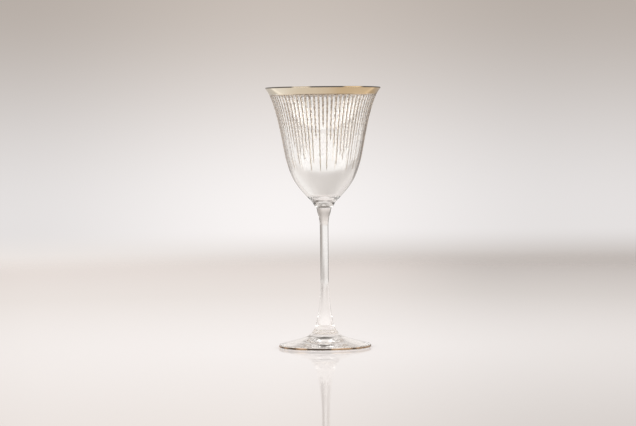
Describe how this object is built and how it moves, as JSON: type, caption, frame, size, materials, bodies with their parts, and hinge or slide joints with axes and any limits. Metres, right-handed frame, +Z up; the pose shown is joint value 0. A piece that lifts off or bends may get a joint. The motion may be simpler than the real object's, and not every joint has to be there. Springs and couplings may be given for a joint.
{
  "type": "white wine glass",
  "caption": "Stemmed white wine glass with a flared bowl, a slim stem and a spread foot, a gilt lip band, fine gilt lines down the bowl and a gilt foot edge.",
  "frame": {"origin": "centre of the foot's contact ring, on the table plane", "axes": "+Z up the axis of the glass, from the foot to the lip; the glass is round about Z"},
  "size_m": [0.0888, 0.0888, 0.2],
  "materials": {
    "clear_glass": "clear, fire polished",
    "bright_gilding": "bright fired gold",
    "matt_gilding": "matt, finely beaded fired gold"
  },
  "bodies": {
    "root": {"bowl": "clear_glass", "collar": "clear_glass", "stem": "clear_glass", "foot": "clear_glass", "rim_band": "bright_gilding", "fringe": "matt_gilding", "foot_line": "bright_gilding"}
  },
  "joints": []
}
